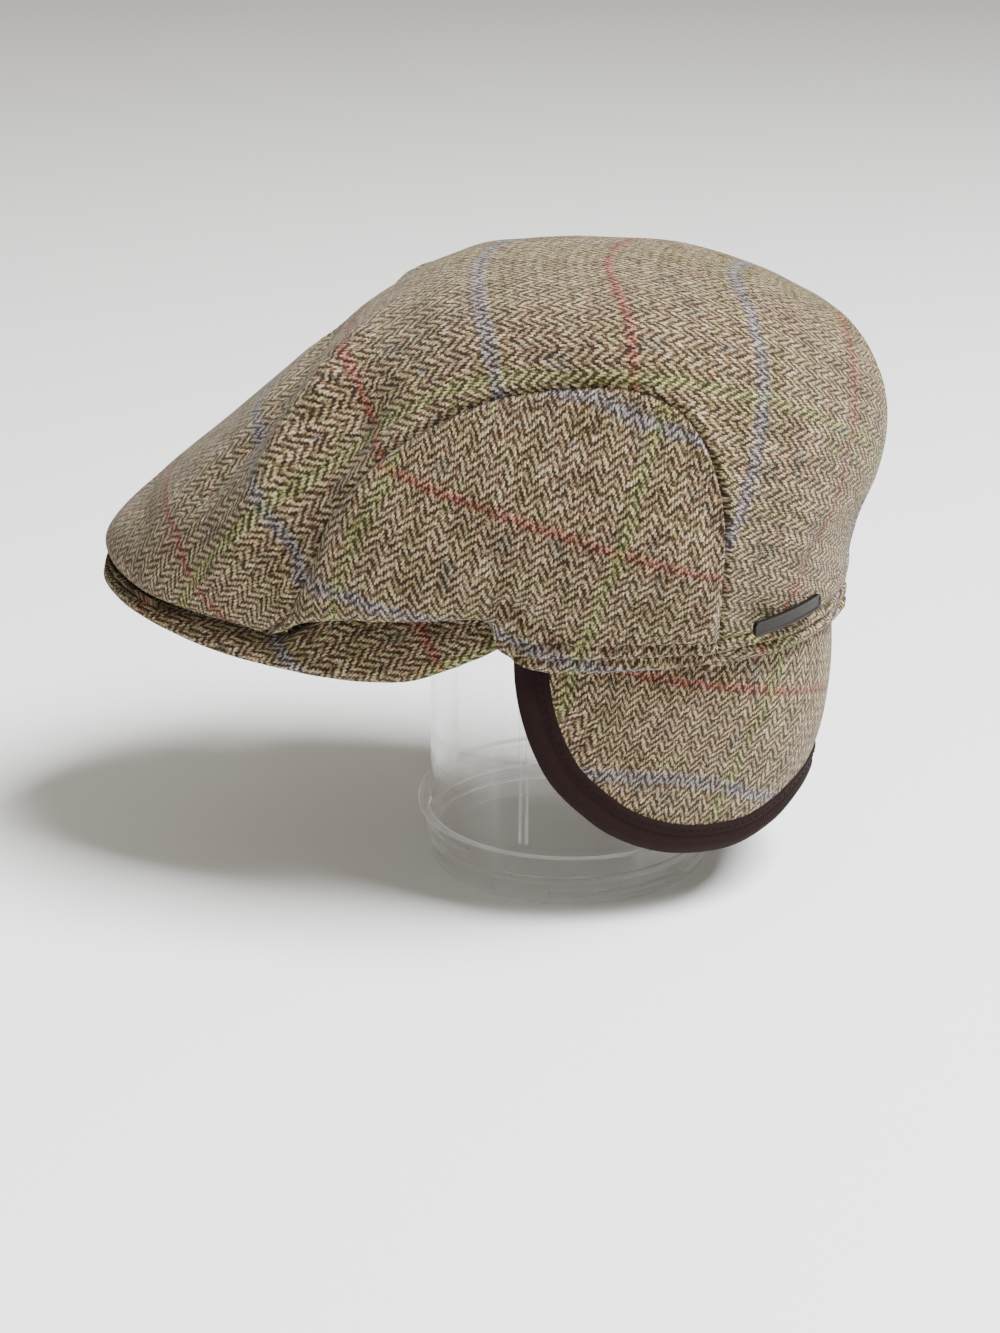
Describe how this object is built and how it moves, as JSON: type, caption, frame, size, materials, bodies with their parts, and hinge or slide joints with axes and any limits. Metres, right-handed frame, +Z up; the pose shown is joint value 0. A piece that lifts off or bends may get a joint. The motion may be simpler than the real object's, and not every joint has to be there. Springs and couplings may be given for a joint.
{
  "type": "flat cap with earflaps on clear stand",
  "caption": "Tweed flat cap with a turned-down, tape-bound flap round ears and neck, resting on an upturned clear jar that holds its shape.",
  "frame": {"origin": "on the table, under the middle of the whole footprint; the stand's axis is 30.2 mm behind it", "axes": "+Z up, -Y towards the peak, +X towards the wearer's left"},
  "size_m": [0.1812, 0.2724, 0.2176],
  "materials": {
    "tweed": "woollen herringbone tweed with a faint coloured overcheck",
    "binding_tape": "dark brown ribbed tape",
    "dark_metal": "dull dark metal",
    "clear_plastic": "clear glossy"
  },
  "bodies": {
    "root": {"crown_top": "tweed", "side_panel_left": "tweed", "side_panel_right": "tweed", "peak": "tweed", "earflap": "tweed", "flap_binding": "binding_tape", "side_bar": "dark_metal", "clear_stand": "clear_plastic"}
  },
  "joints": []
}
